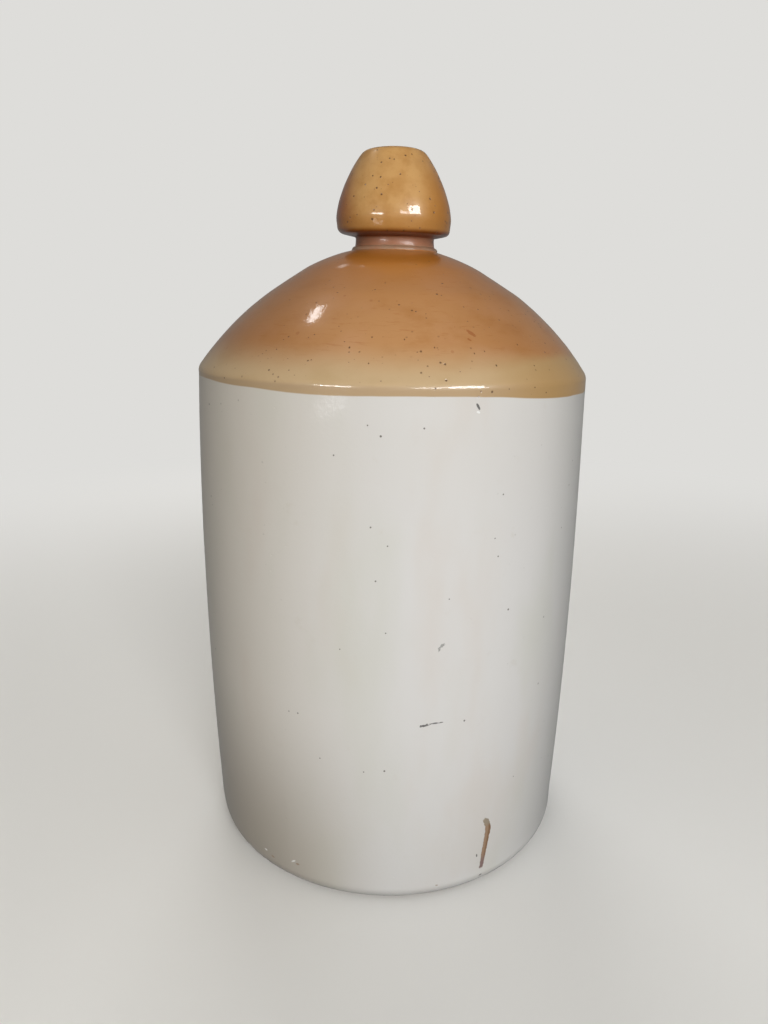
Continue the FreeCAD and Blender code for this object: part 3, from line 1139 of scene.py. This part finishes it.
# %% Lay the floor and set the world
PALE = paint(222, 221, 218)
FLOOR_RADIUS = 12.0
FLOOR_CORNERS = 64
FLOOR_DROP = 0.03 * MM
SHADOW_NEAR = 0.22
SHADOW_FAR = 0.95
WORLD_LIGHT = 0.24
LIGHT_FROM_LEFT = (1.0, 0.91, 0.74, 1.0)
LIGHT_FROM_RIGHT = (0.97, 0.99, 1.0, 1.0)
MIRRORED_STRENGTH = 0.35
FLOOR_MATT = paint(240, 239, 236)
FLOOR_BOUNCE = paint(96, 94, 90)


def by_ray(to, lit, seen, mirrored):
    """One shader for the light on things, one for the camera and one for the gloss."""
    rays = to.add("ShaderNodeLightPath").outputs
    looked_at = to.any_of(rays["Is Camera Ray"], rays["Is Transmission Ray"])
    direct = to.out("ShaderNodeMixShader", [looked_at, lit, seen])
    return to.out("ShaderNodeMixShader", [rays["Is Glossy Ray"], direct, mirrored])


def floor_material():
    material = bpy.data.materials.new("pale_floor")
    to = bench_of(material)
    spot = to.add("ShaderNodeTexCoord").outputs["Object"]
    away = to.add("ShaderNodeVectorMath", [spot], operation="LENGTH").outputs["Value"]
    matt, bounce = (to.out("ShaderNodeBsdfDiffuse", [c]) for c in (FLOOR_MATT, FLOOR_BOUNCE))
    plain, dimmed = (to.out("ShaderNodeEmission", [PALE, s]) for s in (1.0, MIRRORED_STRENGTH))
    fading = to.out("ShaderNodeMixShader", [to.rise(away, SHADOW_NEAR, SHADOW_FAR), matt, plain])
    to.add("ShaderNodeOutputMaterial", [by_ray(to, bounce, fading, dimmed)])
    return material


def lay_floor():
    corners = [math.tau * i / FLOOR_CORNERS for i in range(FLOOR_CORNERS)]
    places = [(FLOOR_RADIUS * math.cos(a), FLOOR_RADIUS * math.sin(a), -FLOOR_DROP) for a in corners]
    mesh = bpy.data.meshes.new("floor")
    mesh.from_pydata(places, [], [range(FLOOR_CORNERS)])
    mesh.materials.append(floor_material())
    return new_object("floor", mesh)


def set_world():
    world = bpy.data.worlds.new("pale_room")
    bpy.context.scene.world = world
    to = bench_of(world)

    def sky(colour, strength):
        return to.out("ShaderNodeBackground", [colour, strength])

    to_right, _, _ = to.split(to.add("ShaderNodeTexCoord").outputs["Generated"])
    left, right = sky(LIGHT_FROM_LEFT, WORLD_LIGHT), sky(LIGHT_FROM_RIGHT, WORLD_LIGHT)
    lit = to.out("ShaderNodeMixShader", [to.rise(to_right, -0.6, 0.6), left, right])
    room = by_ray(to, lit, sky(PALE, 1.0), sky(PALE, MIRRORED_STRENGTH))
    to.add("ShaderNodeOutputWorld", [room])


floor = lay_floor()
floor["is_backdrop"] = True
set_world()
print(f"floor {FLOOR_RADIUS:.0f} m in radius, world light {WORLD_LIGHT}")

# %% [markdown]
# ## The lamps
#
# The photographed highlights tell where the light came from, because a shiny round
# pot mirrors it: a window in front to the right with a dimmer strip beside it, a
# strip and a low glow on the left, and two small lights high up behind on the left.
# How bright a highlight is and how bright the clay is are two different things. So
# these lamps only give highlights, and two large soft panels, which the gloss doesn't
# mirror, light the clay. Each line has a bearing and a height in degrees, a distance
# and two sides in metres, and watts.

# %% Hang the lamps
LAMP_AIM = Vector((0, 0, 0.24))
LIGHT_PANELS = {
    "front_panel": (12, 15, 1.5, (0.9, 0.9), 22.0),
    "back_panel": (190, 15, 1.5, (0.9, 0.6), 12.0),
}
HIGHLIGHTS = {
    "window": (42, 22, 1.3, (0.50, 0.27), 13.5),
    "window_strip": (20.5, 19, 1.3, (0.34, 0.16), 2.9),
    "left_strip": (-31.5, 13.5, 1.4, (0.50, 0.10), 6.3),
    "left_glow": (-32, -3.6, 1.35, (0.42, 0.012), 0.24),
    "high_behind": (-122.5, 58.5, 1.5, (0.20, 0.09), 1.0),
    "far_behind": (-159.5, 44, 1.5, (0.08, 0.09), 0.05),
}


def hang_lamp(name, bearing, height, distance, size, watts, mirrored):
    """A panel in its place round the bottle, turned to it."""
    data = bpy.data.lights.new(name, "AREA")
    data.shape = "RECTANGLE"
    data.size, data.size_y = size
    data.energy = watts
    lamp = new_object(name, data)
    round_by, up_by = math.radians(bearing), math.radians(height)
    flat = math.cos(up_by)
    towards = Vector((math.sin(round_by) * flat, -math.cos(round_by) * flat, math.sin(up_by)))
    lamp.location = LAMP_AIM + towards * distance
    lamp.rotation_euler = (-towards).to_track_quat("-Z", "Y").to_euler()
    lamp.visible_camera = False
    lamp.visible_glossy = mirrored
    lamp.visible_diffuse = not mirrored
    return lamp


for name, settings in LIGHT_PANELS.items():
    hang_lamp(name, *settings, mirrored=False)
for name, settings in HIGHLIGHTS.items():
    hang_lamp(name, *settings, mirrored=True)
bpy.context.scene.view_settings.view_transform = "Standard"
print(f"{len(LIGHT_PANELS)} light panels and {len(HIGHLIGHTS)} lamps for highlights")

# %% [markdown]
# ## The last checks
#
# The finished piece must lie inside the imported model's box.

# %% Compare the boxes and finish
seen_low, seen_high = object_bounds()
room = [*(seen_low - cad_low), *(cad_high - seen_high)]
print("room to the packed box in mm:", [round(gap / MM, 3) for gap in room])
